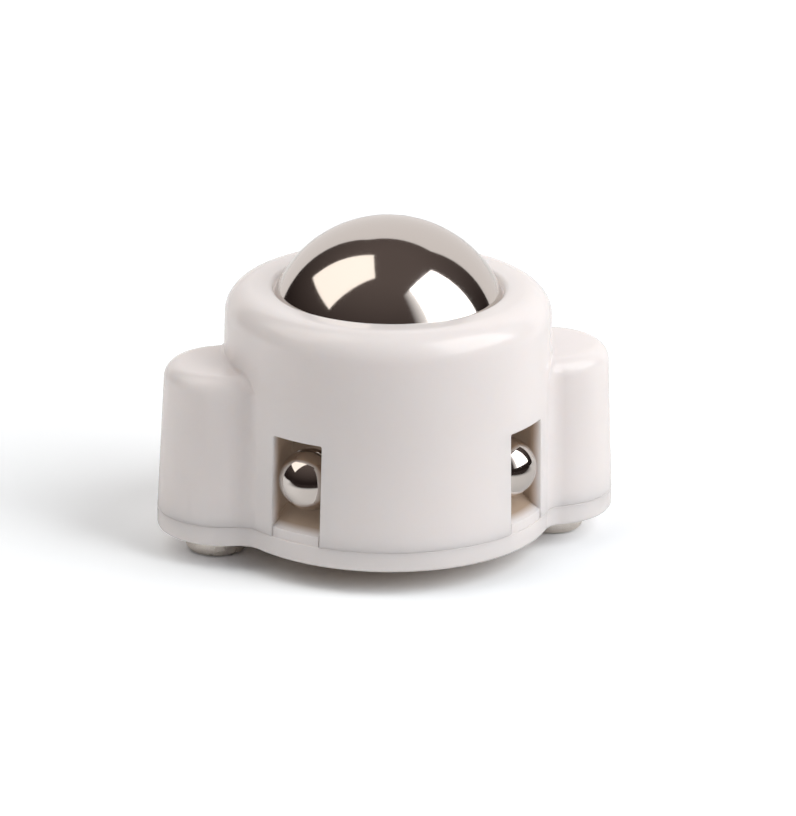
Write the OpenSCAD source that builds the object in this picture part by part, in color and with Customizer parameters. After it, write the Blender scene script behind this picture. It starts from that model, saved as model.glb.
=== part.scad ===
// Ball transfer unit: a steel ball held in a moulded cup with two screw ears.
// The unit stands ball up on the heads of its two screws. Z = 0 is the plane that the
// screw heads stand on, and the Z axis is the axis of the cup. The ears lie along X.

/* [Main ball] */
// Diameter of the main ball
ball_d = 15.875; // [15.5:0.025:16.2]
// Height of the ball's centre above the underside of the base
ball_height = 11.9; // [11.7:0.05:12.2]
// Gap between the ball and the socket round it
socket_play = 0.15; // [0.1:0.01:0.25]
// Gap between the ball and the dish that it sits in
seat_play = 0.03; // [0.02:0.01:0.08]

/* [Bearing balls] */
// Diameter of each bearing ball
bearing_ball_d = 3.969; // [3.8:0.001:4.1]
// Gap between a bearing ball and the ramp or window edges that it lies against
bearing_play = 0.03; // [0.02:0.01:0.08]
// Gap between a bearing ball and each side of its pocket
pocket_play = 0.1; // [0.05:0.01:0.2]
// Slope of the ramp under the bearing balls, in degrees
ramp_angle = 25; // [20:1:28]

/* [Housing] */
// Diameter of the cup at its lower edge
body_d = 21.5; // [21.3:0.1:22.5]
// Height of the rim above the ball's centre
rim_rise = 3.55; // [3.3:0.05:3.8]
// Width of the ring gap between the ball and the mouth, in the plane of the rim
mouth_gap = 0.32; // [0.25:0.01:0.36]
// Radius of the rounded inner edge of the mouth
lip_round = 0.3; // [0.15:0.05:0.4]
// Radius of the rounded outer edge of the rim
rim_round = 1.8; // [1.4:0.1:2.6]
// Taper of the cup's wall towards the rim, in degrees
cup_draft = 1.5; // [0.5:0.1:2]

/* [Windows] */
// Width of each window
window_w = 3.55; // [3.4:0.05:3.7]
// Height of the window tops above the underside of the base
window_top = 8; // [7.8:0.05:8.6]
// Thickness of the wall between a pocket and the outside
window_skin = 0.75; // [0.6:0.05:1]

/* [Ears] */
// Distance between the centres of the two ears
ear_pitch = 21.1; // [20.8:0.1:21.8]
// Radius of each ear at its lower edge
ear_r = 4.35; // [4.1:0.05:4.6]
// Height of the ear tops above the underside of the base
ear_height = 11.05; // [10.85:0.1:11.65]
// Radius of the rounded top edge of each ear
ear_round = 1.1; // [0.6:0.1:1.4]
// Taper of each ear towards its top, in degrees
ear_draft = 2.8; // [1.5:0.1:3]
// Radius of the hollow corner between ear and cup
corner_r = 1.6; // [1:0.1:2.2]

/* [Base] */
// Thickness of the base plate at its edge
base_t = 1.35; // [1.2:0.05:1.6]
// Radius of the rounded lower edge of the base plate
base_round = 0.3; // [0.1:0.05:0.5]
// Height of each window sill above the plate
sill_rise = 0.65; // [0.5:0.05:0.8]
// Gap between the base's raised parts and the housing round them
insert_play = 0.08; // [0.04:0.01:0.15]
// Chamfer along the seam between housing and base
seam_chamfer = 0.12; // [0.05:0.01:0.2]

/* [Screws] */
// Distance between the two screws
screw_pitch = 22.2; // [21.6:0.1:22.6]
// Diameter of the screw's core
screw_core_d = 1.7; // [1.6:0.05:1.8]
// Length of the screw under its head
screw_length = 9.5; // [8:0.5:9.5]
// Length of the screw's point
screw_point = 1.4; // [1:0.1:2]
// Gap between the screw's core and the bore in the ear
pilot_play = 0.05; // [0.03:0.01:0.1]
// Diameter of the screw hole in the base plate
screw_hole_d = 2.5; // [2.4:0.1:2.8]
// Diameter of the screw head
head_d = 4; // [3.6:0.1:4.2]
// Height of the screw head
head_h = 1.6; // [1.3:0.1:1.7]
// Radius of the rounded edge of the screw head
head_round = 0.45; // [0.3:0.05:0.6]
// Length of the cross recess from tip to tip, at the head's face
recess_span = 2; // [1.6:0.1:2.2]
// Length of the cross recess at its floor
recess_floor = 0.7; // [0.5:0.1:1]
// Width of the slots of the cross recess
recess_slot = 0.45; // [0.4:0.05:0.6]
// Depth of the cross recess
recess_depth = 1; // [0.7:0.05:1.1]
// Turn at which the left screw came to rest, in degrees
left_turn = 15; // [0:5:90]
// Turn at which the right screw came to rest, in degrees
right_turn = 60; // [0:5:90]

/* [Hidden] */

$fn = 96;
round_fn = 48;

// How far a cutting shape reaches past what it cuts
over = 1;
// How far a hollow corner's ends run into the walls that it joins
corner_bite = 0.01;
// Turn of the first bearing ball from the line of the ears
first_window = 45;
window_step = 90;

ball_r = ball_d / 2;
socket_r = ball_r + socket_play;
body_r = body_d / 2;
cup_taper = tan(cup_draft);
ear_taper = tan(ear_draft);
rim_z = ball_height + rim_rise;
mouth_r = sqrt(pow(ball_r, 2) - pow(rim_rise, 2)) + mouth_gap;

// The pockets end where the window's edges hold the bearing balls back.
bearing_r = bearing_ball_d / 2;
pocket_w = bearing_ball_d + 2 * pocket_play;
wall_at_bearing = body_r - cup_taper * window_top / 2;
pocket_end_r = wall_at_bearing - window_skin;
edge_reach = sqrt(pow(bearing_r + bearing_play, 2) - pow(window_w / 2, 2));
bearing_ring_r = pocket_end_r - edge_reach;

// The ramp falls outwards from the dish to the window sills.
sill_z = base_t + sill_rise;
sill_r = body_r - insert_play;
ramp_slope = tan(ramp_angle);
bearing_z = sill_z + (sill_r - bearing_ring_r) * ramp_slope
          + (bearing_r + bearing_play) / cos(ramp_angle);
ramp_peak = sill_z + sill_r * ramp_slope;

ear_x = ear_pitch / 2;
screw_x = screw_pitch / 2;

// Centre of the hollow corner, a radius off both the cup and the ear.
cup_reach = body_r + corner_r - corner_bite;
ear_reach = ear_r + corner_r - corner_bite;
corner_x = (pow(cup_reach, 2) - pow(ear_reach, 2) + pow(ear_x, 2)) / (2 * ear_x);
corner_y = sqrt(pow(cup_reach, 2) - pow(corner_x, 2));

// ---- Shapes that repeat ----

// A wall's outline is worked out from its radius r at the foot, its height h and its lean.
// side is 1 on a boss, whose solid lies inside the wall, and -1 on a hollow.

// The outline at the foot of a wall: chamfered, rounded or plain.
function low_edge(r, side, chamfer, round) =
    chamfer > 0 ? [[r - side * chamfer, 0], [r, chamfer]]
  : round > 0 ? [[r - side * round, 0], [r, round]]
  : [[r, 0]];

// The centre of the round at the top of a wall, which is tangent to the wall and the top.
function high_centre(r, h, lean, side, round) =
    [r - side * (lean * (h - round) + round / cos(atan(lean))), h - round];

// The outline at the top of a wall: chamfered, rounded or plain.
function high_edge(r, h, lean, side, chamfer, round) =
    let (centre = high_centre(r, h, lean, side, round), tilt = atan(lean))
    chamfer > 0 ? [[r - side * lean * (h - chamfer), h - chamfer],
                   [r - side * (lean * h + chamfer), h]]
  : round > 0 ? [centre + round * [side * cos(tilt), sin(tilt)], centre + [0, round]]
  : [[r - side * lean * h, h]];

// The rounds at the foot and the top of a wall.
module edge_rounds(r, h, lean, side, low_round, high_round) {
    if (low_round > 0)
        translate([r - side * low_round, low_round]) circle(low_round, $fn = round_fn);
    if (high_round > 0)
        translate(high_centre(r, h, lean, side, high_round))
            circle(high_round, $fn = round_fn);
}

// Half section of a boss.
module boss_section(r, h, lean = 0, low_chamfer = 0, high_chamfer = 0, low_round = 0,
                    high_round = 0) {
    polygon(concat([[0, 0]],
                   low_edge(r, 1, low_chamfer, low_round),
                   high_edge(r, h, lean, 1, high_chamfer, high_round),
                   [[0, h]]));
    edge_rounds(r, h, lean, 1, low_round, high_round);
}

// Half section of what a hollow takes out. It widens at its edges.
module hollow_section(r, h, lean = 0, low_chamfer = 0, high_chamfer = 0, low_round = 0,
                      high_round = 0) {
    low = low_edge(r, -1, low_chamfer, low_round);
    high = high_edge(r, h, lean, -1, high_chamfer, high_round);
    difference() {
        polygon(concat([[0, -over], [low[0].x, -over]], low, high,
                       [[high[len(high) - 1].x, h + over], [0, h + over]]));
        edge_rounds(r, h, lean, -1, low_round, high_round);
    }
}

// An ear with the hollow corners that join it to the cup.
module ear(h, lean = 0, low_chamfer = 0, high_chamfer = 0, low_round = 0, high_round = 0) {
    translate([ear_x, 0, 0])
        rotate_extrude()
            boss_section(ear_r, h, lean, low_chamfer, high_chamfer, low_round, high_round);
    difference() {
        linear_extrude(h)
            polygon([[0, 0], [corner_x, corner_y], [ear_x, 0], [corner_x, -corner_y]]);
        for (side = [-1, 1])
            translate([corner_x, side * corner_y, 0])
                rotate_extrude()
                    hollow_section(corner_r, h, lean, low_chamfer, high_chamfer, low_round,
                                   high_round);
    }
}

module both_sides() {
    children();
    mirror([1, 0, 0]) children();
}

module at_windows() {
    for (i = [0 : 3])
        rotate(first_window + i * window_step) children();
}

// ---- Housing ----

// Half section of the cup: drafted wall, round rim, socket and bore.
module cup_section() {
    difference() {
        translate([0, base_t])
            boss_section(body_r, rim_z - base_t, cup_taper, low_chamfer = seam_chamfer,
                         high_round = rim_round);
        translate([0, ball_height]) {
            intersection() {
                circle(socket_r);
                translate([0, -socket_r]) square(2 * socket_r);
            }
            hollow_section(mouth_r, rim_rise, high_round = lip_round);
        }
        square([socket_r, ball_height]);
    }
}

// The room for one bearing ball, with its window.
module pocket() {
    intersection() {
        translate([0, -pocket_w / 2, base_t - over])
            cube([body_r, pocket_w, window_top - base_t + over]);
        cylinder(r = pocket_end_r, h = window_top + over);
    }
    translate([0, -window_w / 2, base_t - over])
        cube([body_r + over, window_w, window_top - base_t + over]);
}

module pilot_bore() {
    depth = screw_length + screw_point / 4;
    translate([screw_x, 0, 0]) cylinder(d = screw_core_d + 2 * pilot_play, h = depth);
}

module housing() {
    color("white")
        translate([0, 0, head_h])
            difference() {
                union() {
                    rotate_extrude() cup_section();
                    difference() {
                        translate([0, 0, base_t])
                            both_sides()
                                ear(ear_height - base_t, ear_taper,
                                    low_chamfer = seam_chamfer, high_round = ear_round);
                        cylinder(r = (socket_r + body_r) / 2, h = rim_z);
                    }
                }
                at_windows() pocket();
                both_sides() pilot_bore();
            }
}

// ---- Base ----

// What the raised parts of the base fill in plan: the housing's bore, and the foot of each
// pocket out through its window.
module raised_plan() {
    foot_w = pocket_w - 2 * insert_play;
    sill_w = window_w - 2 * insert_play;
    circle(socket_r - insert_play);
    at_windows() {
        translate([0, -sill_w / 2]) square([body_r, sill_w]);
        intersection() {
            translate([0, -foot_w / 2]) square([body_r, foot_w]);
            circle(pocket_end_r - insert_play);
        }
    }
}

// The raised parts: one blunt cone that falls outwards to the window sills, so that the
// bearing balls roll towards the windows.
module raised_parts() {
    intersection() {
        linear_extrude(ball_height) raised_plan();
        rotate_extrude()
            polygon([[0, base_t / 2], [sill_r, base_t / 2], [sill_r, sill_z], [0, ramp_peak]]);
    }
}

module base() {
    color("white")
        translate([0, 0, head_h])
            difference() {
                union() {
                    rotate_extrude()
                        boss_section(body_r, base_t, high_chamfer = seam_chamfer,
                                     low_round = base_round);
                    both_sides()
                        ear(base_t, high_chamfer = seam_chamfer, low_round = base_round);
                    raised_parts();
                }
                translate([0, 0, ball_height]) sphere(ball_r + seat_play);
                both_sides()
                    translate([screw_x, 0, -over])
                        cylinder(d = screw_hole_d, h = base_t + 2 * over);
            }
}

// ---- Balls ----

module main_ball() {
    color("silver") translate([0, 0, head_h + ball_height]) sphere(d = ball_d);
}

module bearing_ball(i) {
    color("silver")
        rotate(first_window + (i - 1) * window_step)
            translate([bearing_ring_r, 0, head_h + bearing_z]) sphere(d = bearing_ball_d);
}

// ---- Screws ----

// Half section of the screw, head down, with the head's face at Z = 0.
module screw_section() {
    core_r = screw_core_d / 2;
    tip_z = head_h + screw_length;
    boss_section(head_d / 2, head_h, low_round = head_round);
    polygon([[0, head_h / 2], [core_r, head_h / 2], [core_r, tip_z - screw_point], [0, tip_z]]);
}

// The cross recess. The ends of its slots slope in towards its floor.
module recess() {
    intersection() {
        for (turn = [0, 90])
            rotate(turn)
                translate([-recess_span / 2, -recess_slot / 2, -over])
                    cube([recess_span, recess_slot, recess_depth + over]);
        rotate_extrude()
            polygon([[0, -over], [recess_span / 2, -over], [recess_span / 2, 0],
                     [recess_floor / 2, recess_depth], [0, recess_depth]]);
    }
}

module screw() {
    difference() {
        rotate_extrude() screw_section();
        recess();
    }
}

module screw_left() {
    color("lightgray") translate([-screw_x, 0, 0]) rotate(left_turn) screw();
}

module screw_right() {
    color("lightgray") translate([screw_x, 0, 0]) rotate(right_turn) screw();
}

housing();
base();
main_ball();
bearing_ball(1);  // bearing_ball_1
bearing_ball(2);  // bearing_ball_2
bearing_ball(3);  // bearing_ball_3
bearing_ball(4);  // bearing_ball_4
screw_left();
screw_right();
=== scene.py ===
"""A small ball transfer unit: a polished steel ball in a white moulded cup with two ears.

The unit stands ball up on the heads of its two screws. Lengths are in millimetres while a
surface is worked out and in metres once it is a mesh; Z = 0 is the plane of the screw heads.
"""

import logging
import math
from dataclasses import dataclass
from enum import Enum
from typing import Sequence

import bpy
import numpy as np
from mathutils import Matrix, Vector


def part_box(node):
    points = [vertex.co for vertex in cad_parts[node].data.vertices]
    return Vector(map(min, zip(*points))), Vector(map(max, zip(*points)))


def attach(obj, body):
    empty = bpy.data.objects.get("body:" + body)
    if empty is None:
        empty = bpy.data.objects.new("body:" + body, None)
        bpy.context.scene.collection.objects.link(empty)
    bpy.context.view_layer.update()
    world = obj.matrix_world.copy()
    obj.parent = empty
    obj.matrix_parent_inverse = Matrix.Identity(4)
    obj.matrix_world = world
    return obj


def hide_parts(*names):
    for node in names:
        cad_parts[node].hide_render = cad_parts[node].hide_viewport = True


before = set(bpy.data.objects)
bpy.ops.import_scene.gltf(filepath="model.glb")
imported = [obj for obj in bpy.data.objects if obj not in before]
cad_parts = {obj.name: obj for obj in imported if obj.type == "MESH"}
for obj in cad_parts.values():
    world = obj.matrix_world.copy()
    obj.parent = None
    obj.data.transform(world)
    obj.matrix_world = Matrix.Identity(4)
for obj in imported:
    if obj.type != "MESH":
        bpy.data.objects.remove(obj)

log = logging.getLogger("ball_transfer_unit")

MM = 0.001
FULL_TURN = 2.0 * math.pi
# Edges sharper than these turns, in degrees, stay sharp.
SHARP_PLASTIC = 26.0
SHARP_STEEL = 35.0
# A cutting tool reaches this far past the face that it opens, in millimetres.
CLEAR = 0.5


class Node(Enum):
    """The single parts of the unit; its four bearing balls are numbered in main."""

    HOUSING = "housing"
    BASE = "base"
    MAIN_BALL = "main_ball"
    SCREW_LEFT = "screw_left"
    SCREW_RIGHT = "screw_right"


class Cut(Enum):
    """What a boolean does with the tool's solid."""

    DIFFERENCE = "DIFFERENCE"
    UNION = "UNION"


# ---- Colours and shader nodes ----


def linear(colour: str) -> tuple[float, float, float, float]:
    """Turn an sRGB hex colour into linear light.

    Args:
        colour: the colour as "#rrggbb".

    Returns:
        Linear red, green and blue, and an alpha of one.
    """
    srgb = np.array([int(colour[i:i + 2], 16) for i in (1, 3, 5)]) / 255.0
    light = np.where(srgb <= 0.04045, srgb / 12.92, ((srgb + 0.055) / 1.055) ** 2.4)
    return (*light.tolist(), 1.0)


def add_node(tree: bpy.types.NodeTree, kind: str, settings: dict | None = None,
             inputs: dict | None = None) -> bpy.types.Node:
    """Add one shader node with its settings, and fill or link its sockets.

    Args:
        tree: the node tree that gets the node.
        kind: the node's type, such as "ShaderNodeTexNoise".
        settings: attributes of the node.
        inputs: for each socket, by name or number, a value or the socket that feeds it.

    Returns:
        The new node.
    """
    node = tree.nodes.new(kind)
    for name, value in (settings or {}).items():
        setattr(node, name, value)
    for name, value in (inputs or {}).items():
        if isinstance(value, bpy.types.NodeSocket):
            tree.links.new(value, node.inputs[name])
        else:
            node.inputs[name].default_value = value
    return node


def blank_material(name: str) -> bpy.types.Material:
    """Make a material whose node tree is still empty.

    Args:
        name: name of the material.

    Returns:
        The material.
    """
    material = bpy.data.materials.new(name)
    material.use_nodes = True
    material.node_tree.nodes.clear()
    return material


# ---- Finishes ----


@dataclass(frozen=True)
class MouldedAcetal:
    """White acetal from a polished steel mould.

    Attributes:
        name: name of the material.
        colour: sRGB colour of the plastic in bulk.
        roughness: how far the polished mould's gloss blurs what it mirrors.
        gloss_range: how far the roughness falls and rises from place to place.
        ior: index of refraction of acetal.
        glow: share of the light that goes through the skin before it comes back.
        depth: how deep that light goes, in metres.
        bleed: how far red, green and blue spread, as shares of that depth.
        flow_scale: how many flow marks lie along one metre.
        flow_height: height of the flow marks, in metres.
        painted_shade: sRGB colour painted into the pockets and ramps as shade.
        painted_shade_r: distance from the axis inside which that painted shade lies, in
            metres.
        painted_shade_z: height below which the painted shade lies, in metres.
        painted_shade_fade: how far it thins out at its edge and at its top, in metres.
        painted_pocket_glow: strength of the glow painted into the pockets, in place of light
            through the walls.
        painted_pocket_glow_z: height above which it shows, in metres.
        painted_pocket_glow_fade: how far it takes to reach its full strength, in metres.
        painted_lip_glow: strength of the glow painted on the lip over the ball, in place of
            light through the thin plastic.
        lip_r: distance from the axis inside which the lip lies, in metres.
        lip_z: height up to which the painted glow on the lip reaches, in metres.
        lip_depth: how far below that height the painted glow ends, in metres.
        lip_fade: how far its edges fade, in metres.
    """

    name: str = "moulded_white_acetal"
    colour: str = "#f4eeed"
    roughness: float = 0.11
    gloss_range: tuple[float, float] = (0.03, 0.04)
    ior: float = 1.48
    glow: float = 0.5
    depth: float = 0.0018
    bleed: tuple[float, float, float] = (1.0, 0.9, 0.82)
    flow_scale: float = 420.0
    flow_height: float = 0.0000012
    painted_shade: str = "#b8a492"
    painted_shade_r: float = 0.0105
    painted_shade_z: float = 0.0098
    painted_shade_fade: tuple[float, float] = (0.0005, 0.0004)
    painted_pocket_glow: float = 0.105
    painted_pocket_glow_z: float = 0.0026
    painted_pocket_glow_fade: float = 0.0005
    painted_lip_glow: float = 0.42
    lip_r: float = 0.0077
    lip_z: float = 0.01672
    lip_depth: float = 0.001
    lip_fade: float = 0.0002

    def material(self) -> bpy.types.Material:
        """Build the material: varied gloss, flow marks, painted shade in the pockets, and
        painted glow in the pockets and on the lip.

        Returns:
            The finished material.
        """
        made = blank_material(self.name)
        tree = made.node_tree
        place = add_node(tree, "ShaderNodeTexCoord")
        # The melt cools in soft waves about 2.4 mm long, which bend the edges of highlights.
        flow = add_node(tree, "ShaderNodeTexNoise", inputs={
            "Vector": place.outputs["Object"], "Scale": self.flow_scale, "Detail": 1.5,
            "Roughness": 0.4})
        # Gloss differs slightly from place to place, as the mould's polish does.
        gloss = add_node(tree, "ShaderNodeMapRange", inputs={
            "Value": flow.outputs["Fac"], "From Min": 0.3, "From Max": 0.7,
            "To Min": self.roughness - self.gloss_range[0],
            "To Max": self.roughness + self.gloss_range[1]})
        skin = add_node(tree, "ShaderNodeBump", inputs={
            "Height": flow.outputs["Fac"], "Distance": self.flow_height, "Strength": 1.0})
        # Painted shade: the pockets and ramps are tinted a warm grey, which darkens them as
        # shade would.
        axes = add_node(tree, "ShaderNodeSeparateXYZ", inputs={
            "Vector": place.outputs["Object"]})
        flat = add_node(tree, "ShaderNodeCombineXYZ", inputs={
            "X": axes.outputs["X"], "Y": axes.outputs["Y"]})
        distance = add_node(tree, "ShaderNodeVectorMath", {"operation": "LENGTH"}, {
            0: flat.outputs["Vector"]})
        within = add_node(tree, "ShaderNodeMapRange", inputs={
            "Value": distance.outputs["Value"],
            "From Min": self.painted_shade_r - self.painted_shade_fade[0], "From Max": self.painted_shade_r,
            "To Min": 1.0, "To Max": 0.0})
        below = add_node(tree, "ShaderNodeMapRange", inputs={
            "Value": axes.outputs["Z"], "From Min": self.painted_shade_z,
            "From Max": self.painted_shade_z + self.painted_shade_fade[1], "To Min": 1.0, "To Max": 0.0})
        painted_shade_share = add_node(tree, "ShaderNodeMath", {"operation": "MULTIPLY"}, {
            0: within.outputs["Result"], 1: below.outputs["Result"]})
        bulk = add_node(tree, "ShaderNodeMix", {"data_type": "RGBA"}, {
            "Factor": painted_shade_share.outputs["Value"], "A": linear(self.colour),
            "B": linear(self.painted_shade)})
        # Painted light: the pockets glow a little, in place of light through the walls, which
        # lifts their black to a warm brown.
        inside = add_node(tree, "ShaderNodeMapRange", inputs={
            "Value": axes.outputs["Z"], "From Min": self.painted_pocket_glow_z,
            "From Max": self.painted_pocket_glow_z + self.painted_pocket_glow_fade, "To Min": 0.0, "To Max": self.painted_pocket_glow})
        painted_pocket_glow_share = add_node(tree, "ShaderNodeMath", {"operation": "MULTIPLY"}, {
            0: painted_shade_share.outputs["Value"], 1: inside.outputs["Result"]})
        # Painted light: the lip glows softly where it curls in over the ball, in place of
        # light through the thin plastic.
        deep = add_node(tree, "ShaderNodeMapRange", inputs={
            "Value": axes.outputs["Z"], "From Min": self.lip_z - self.lip_fade,
            "From Max": self.lip_z + self.lip_fade, "To Min": self.painted_lip_glow,
            "To Max": 0.0})
        curl = add_node(tree, "ShaderNodeMath", {"operation": "GREATER_THAN"}, {
            0: axes.outputs["Z"], 1: self.lip_z - self.lip_depth})
        lipped = add_node(tree, "ShaderNodeMapRange", inputs={
            "Value": distance.outputs["Value"], "From Min": self.lip_r,
            "From Max": self.lip_r + self.lip_fade, "To Min": 1.0, "To Max": 0.0})
        thin = add_node(tree, "ShaderNodeMath", {"operation": "MULTIPLY"}, {
            0: deep.outputs["Result"], 1: curl.outputs["Value"]})
        # Painted light: the lip's glow and the pockets' glow add up to one emission strength.
        painted_glow_strength = add_node(tree, "ShaderNodeMath", {"operation": "MULTIPLY_ADD"}, {
            0: thin.outputs["Value"], 1: lipped.outputs["Result"],
            2: painted_pocket_glow_share.outputs["Value"]})
        # The painted shade goes into the base colour, and the painted glows go into the
        # emission.
        shader = add_node(tree, "ShaderNodeBsdfPrincipled", inputs={
            "Base Color": bulk.outputs["Result"], "Roughness": gloss.outputs["Result"],
            "IOR": self.ior, "Subsurface Weight": self.glow,
            "Subsurface Radius": self.bleed, "Subsurface Scale": self.depth,
            "Emission Color": bulk.outputs["Result"],
            "Emission Strength": painted_glow_strength.outputs["Value"],
            "Normal": skin.outputs["Normal"]})
        add_node(tree, "ShaderNodeOutputMaterial",
                 inputs={"Surface": shader.outputs["BSDF"]})
        return made


@dataclass(frozen=True)
class LappedSteel:
    """Hardened chrome steel, ground and lapped to a mirror.

    Attributes:
        name: name of the material.
        colour: sRGB colour of what the metal mirrors head on.
        roughness: blur that the lapping leaves.
        haze_range: smallest and largest blur, as shares of the roughness.
        lap_scale: how many lapping marks lie along one metre.
        lap_height: height of the marks, in metres.
    """

    name: str = "lapped_chrome_steel"
    colour: str = "#d3cdc8"
    roughness: float = 0.075
    haze_range: tuple[float, float] = (0.6, 1.5)
    lap_scale: float = 2600.0
    lap_height: float = 0.00000012

    def material(self) -> bpy.types.Material:
        """Build the material: a warm grey mirror with the faintest lapping haze.

        Returns:
            The finished material.
        """
        made = blank_material(self.name)
        tree = made.node_tree
        place = add_node(tree, "ShaderNodeTexCoord")
        # Real lapping marks are far finer; at 0.4 mm they only just break up a reflection.
        marks = add_node(tree, "ShaderNodeTexNoise", inputs={
            "Vector": place.outputs["Object"], "Scale": self.lap_scale, "Detail": 2.0,
            "Distortion": 1.2})
        haze = add_node(tree, "ShaderNodeMapRange", inputs={
            "Value": marks.outputs["Fac"], "To Min": self.roughness * self.haze_range[0],
            "To Max": self.roughness * self.haze_range[1]})
        skin = add_node(tree, "ShaderNodeBump", inputs={
            "Height": marks.outputs["Fac"], "Distance": self.lap_height, "Strength": 1.0})
        shader = add_node(tree, "ShaderNodeBsdfPrincipled", inputs={
            "Base Color": linear(self.colour), "Metallic": 1.0,
            "Roughness": haze.outputs["Result"], "Normal": skin.outputs["Normal"]})
        add_node(tree, "ShaderNodeOutputMaterial",
                 inputs={"Surface": shader.outputs["BSDF"]})
        return made


@dataclass(frozen=True)
class PlatedSteel:
    """Cold-headed steel with a thin zinc plating.

    Attributes:
        name: name of the material.
        bright: sRGB colour of fresh zinc.
        dull: sRGB colour where the zinc has gone dull.
        roughness: blur of the plated skin.
        gloss_range: smallest and largest blur, as shares of the roughness.
        grain_scale: how many zinc grains lie along one metre.
        grain_height: height of the grains, in metres.
    """

    name: str = "zinc_plated_steel"
    bright: str = "#fdfaf5"
    dull: str = "#ece6de"
    roughness: float = 0.26
    gloss_range: tuple[float, float] = (0.75, 1.25)
    grain_scale: float = 1800.0
    grain_height: float = 0.000002

    def material(self) -> bpy.types.Material:
        """Build the material: zinc grains that differ in tone and gloss.

        Returns:
            The finished material.
        """
        made = blank_material(self.name)
        tree = made.node_tree
        place = add_node(tree, "ShaderNodeTexCoord")
        # Grains of about half a millimetre keep the heads from looking like one clean mirror.
        grain = add_node(tree, "ShaderNodeTexNoise", inputs={
            "Vector": place.outputs["Object"], "Scale": self.grain_scale, "Detail": 3.0})
        tone = add_node(tree, "ShaderNodeMix", {"data_type": "RGBA"}, {
            "Factor": grain.outputs["Fac"], "A": linear(self.bright),
            "B": linear(self.dull)})
        gloss = add_node(tree, "ShaderNodeMapRange", inputs={
            "Value": grain.outputs["Fac"], "To Min": self.roughness * self.gloss_range[0],
            "To Max": self.roughness * self.gloss_range[1]})
        skin = add_node(tree, "ShaderNodeBump", inputs={
            "Height": grain.outputs["Fac"], "Distance": self.grain_height, "Strength": 1.0})
        shader = add_node(tree, "ShaderNodeBsdfPrincipled", inputs={
            "Base Color": tone.outputs["Result"], "Metallic": 1.0,
            "Roughness": gloss.outputs["Result"], "Normal": skin.outputs["Normal"]})
        add_node(tree, "ShaderNodeOutputMaterial",
                 inputs={"Surface": shader.outputs["BSDF"]})
        return made


# ---- Surfaces ----


class Surface:
    """Vertices and faces of one mesh, gathered patch by patch in millimetres."""

    def __init__(self) -> None:
        """Start with no vertices and no faces."""
        self._points: list[np.ndarray] = []
        self._faces: list[np.ndarray] = []
        self._count = 0

    def add_points(self, points: np.ndarray) -> np.ndarray:
        """Add vertices.

        Args:
            points: an array of positions whose last axis is x, y, z.

        Returns:
            The numbers of the new vertices, in the shape of the array without that axis.
        """
        flat = np.asarray(points, float).reshape(-1, 3)
        numbers = np.arange(self._count, self._count + len(flat))
        self._points.append(flat)
        self._count += len(flat)
        return numbers.reshape(np.shape(points)[:-1])

    def add_bands(self, numbers: np.ndarray, loop_rows: bool = False,
                  loop_columns: bool = True, flip: bool = False) -> None:
        """Join each row of a grid to the next with four-cornered faces.

        Args:
            numbers: vertex numbers by row and column.
            loop_rows: whether the last row joins the first.
            loop_columns: whether the last column joins the first.
            flip: whether the faces turn the other way.
        """
        if loop_rows:
            numbers = np.vstack([numbers, numbers[:1]])
        if loop_columns:
            numbers = np.hstack([numbers, numbers[:, :1]])
        a, b = numbers[:-1, :-1], numbers[:-1, 1:]
        c, d = numbers[1:, 1:], numbers[1:, :-1]
        corners = (d, c, b, a) if flip else (a, b, c, d)
        self._faces.append(np.stack(corners, -1).reshape(-1, 4))

    def add_fan(self, ring: np.ndarray, pole: Sequence[float],
                flip: bool = False) -> None:
        """Close a ring with triangles that meet at one point.

        Args:
            ring: vertex numbers around the ring.
            pole: position of the point.
            flip: whether the faces turn the other way.
        """
        tip = np.full(len(ring), self.add_points(np.reshape(pole, (1, 3)))[0])
        after = np.roll(ring, -1)
        corners = (after, ring, tip) if flip else (ring, after, tip)
        self._faces.append(np.stack(corners, -1))

    def add_solid(self, rows: np.ndarray, last_pole: Sequence[float] | None = None) -> None:
        """Add a closed solid: rings one above the other, with a fan at each end.

        A fan's middle is the mean of its ring.

        Args:
            rows: positions by ring and column.
            last_pole: the middle of the last fan, where it isn't that mean.
        """
        numbers = self.add_points(rows)
        self.add_bands(numbers)
        self.add_fan(numbers[0], rows[0].mean(0), flip=True)
        self.add_fan(numbers[-1], rows[-1].mean(0) if last_pole is None else last_pole)

    def mesh(self, name: str) -> bpy.types.Mesh:
        """Make the mesh, in metres.

        Args:
            name: name of the mesh.

        Returns:
            The mesh, without a material.
        """
        points = np.vstack(self._points) * MM
        sizes = np.concatenate([np.full(len(f), f.shape[1]) for f in self._faces])
        corners = np.concatenate([f.ravel() for f in self._faces])
        starts = np.concatenate([[0], np.cumsum(sizes)[:-1]])
        made = bpy.data.meshes.new(name)
        made.vertices.add(len(points))
        made.vertices.foreach_set("co", points.ravel().astype(np.float32))
        made.loops.add(len(corners))
        made.loops.foreach_set("vertex_index", corners.astype(np.int32))
        made.polygons.add(len(sizes))
        made.polygons.foreach_set("loop_start", starts.astype(np.int32))
        made.update(calc_edges=True)
        made.validate()
        return made


def place_mesh(name: str, mesh: bpy.types.Mesh,
               material: bpy.types.Material | None = None) -> bpy.types.Object:
    """Put a mesh into the scene, unturned at the origin.

    Args:
        name: name of the object.
        mesh: its mesh.
        material: its material, if it gets one.

    Returns:
        The object.
    """
    placed = bpy.data.objects.new(name, mesh)
    bpy.context.scene.collection.objects.link(placed)
    if material is not None:
        mesh.materials.clear()
        mesh.materials.append(material)
    return placed


def smooth_but_for(mesh: bpy.types.Mesh, sharp_degrees: float) -> None:
    """Shade a mesh smoothly except over edges sharper than an angle in degrees."""
    mesh.shade_smooth()
    mesh.set_sharp_from_angle(angle=math.radians(sharp_degrees))


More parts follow.
